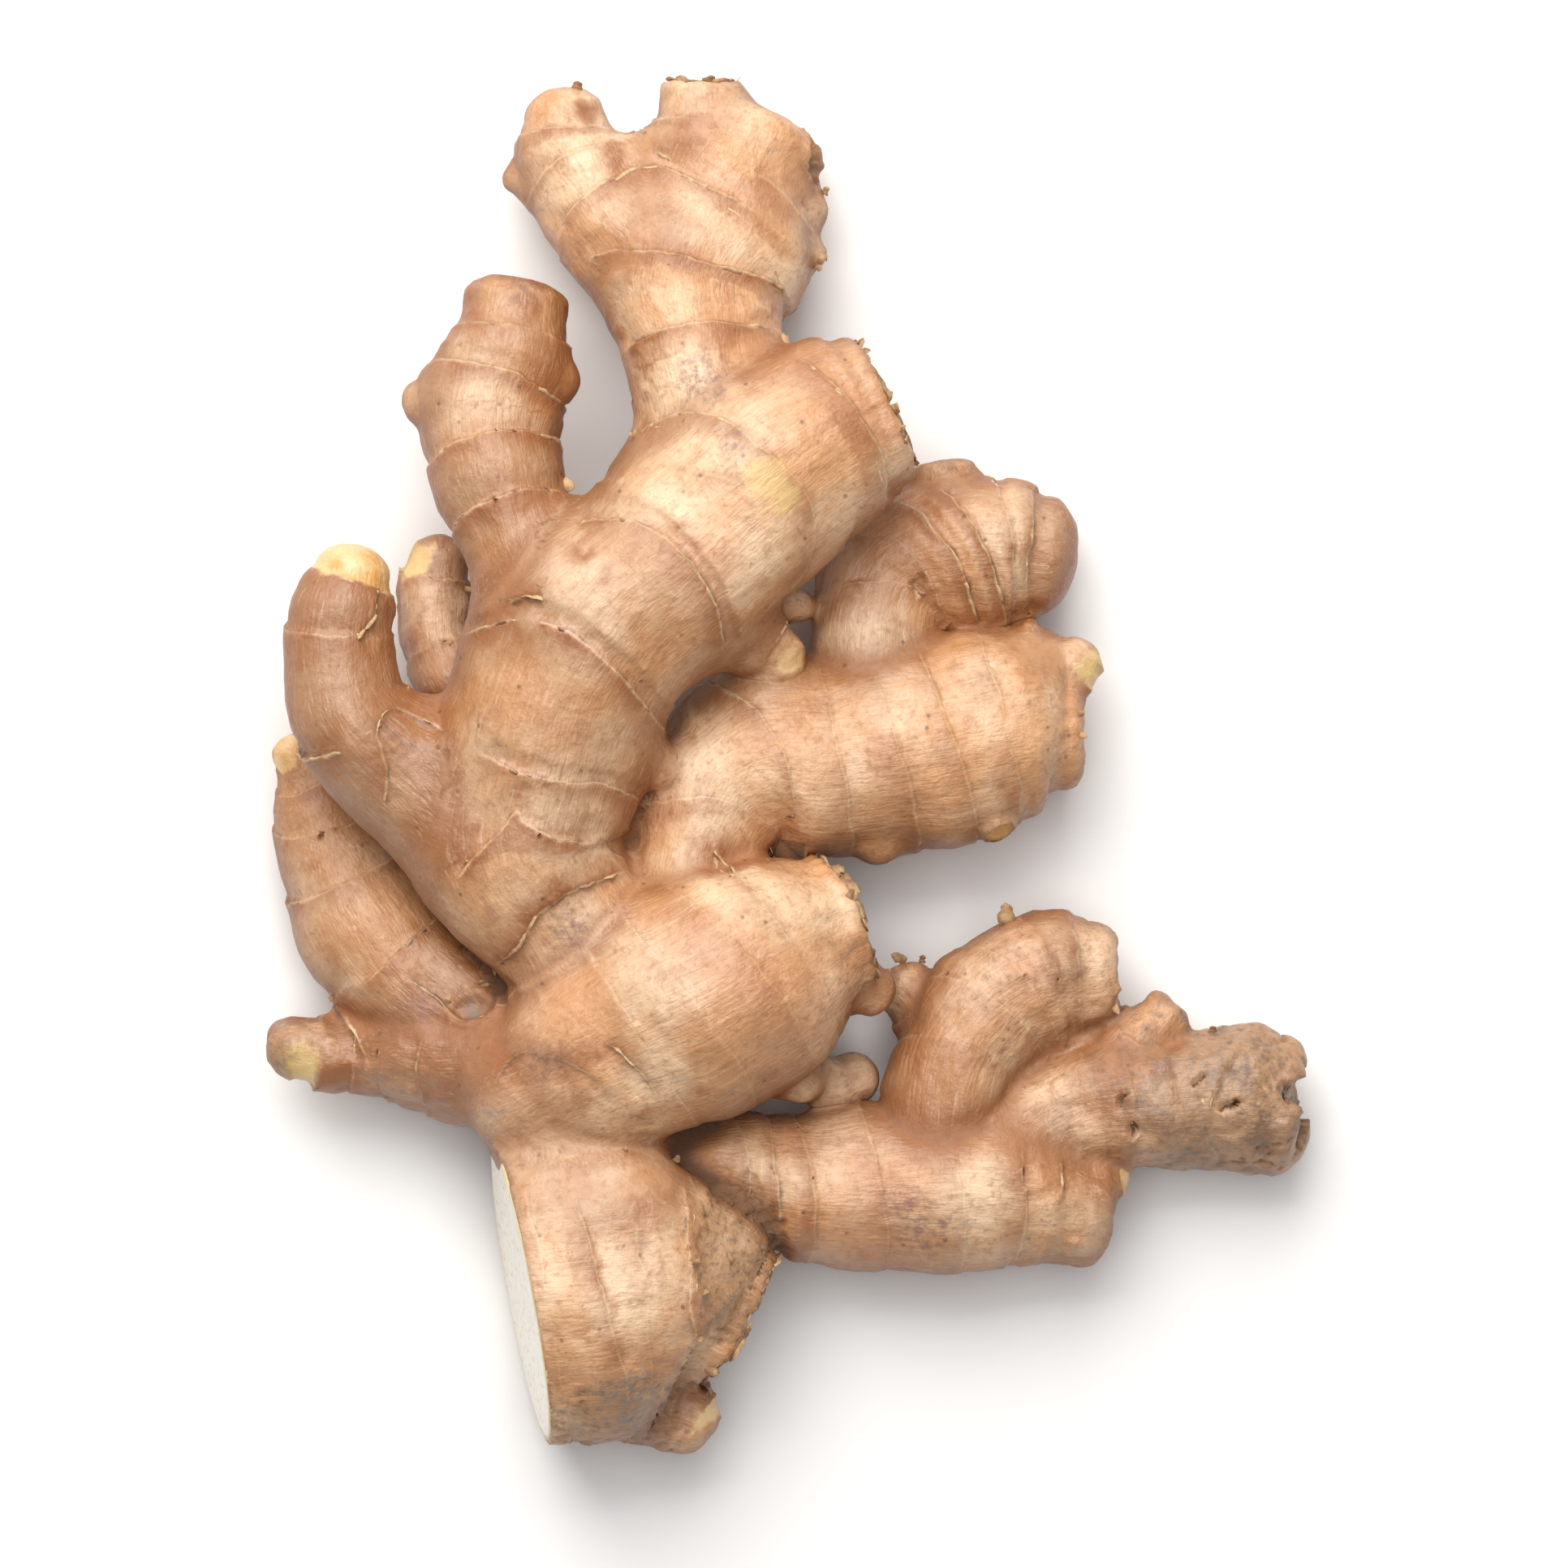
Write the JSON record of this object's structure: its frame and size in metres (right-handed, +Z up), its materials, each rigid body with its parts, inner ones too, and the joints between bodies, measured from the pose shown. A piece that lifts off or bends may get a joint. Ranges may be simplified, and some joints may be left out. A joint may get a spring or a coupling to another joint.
{
  "type": "ginger root",
  "caption": "Hand of fresh ginger root lying on its side: ringed, branching fingers with pale buds, dry broken ends and one clean knife-cut face.",
  "frame": {"origin": "middle of the root's outline seen from above, on the table plane that it lies on", "axes": "+Z up from the table, +Y along the hand from the cut foot to the crown, +X towards the wing and arm fingers"},
  "size_m": [0.1612, 0.2116, 0.0485],
  "materials": {
    "skin": "dry papery skin, fine lengthwise wrinkles, soft satin sheen"
  },
  "bodies": {
    "root": {"ginger_root": "skin"}
  },
  "joints": []
}
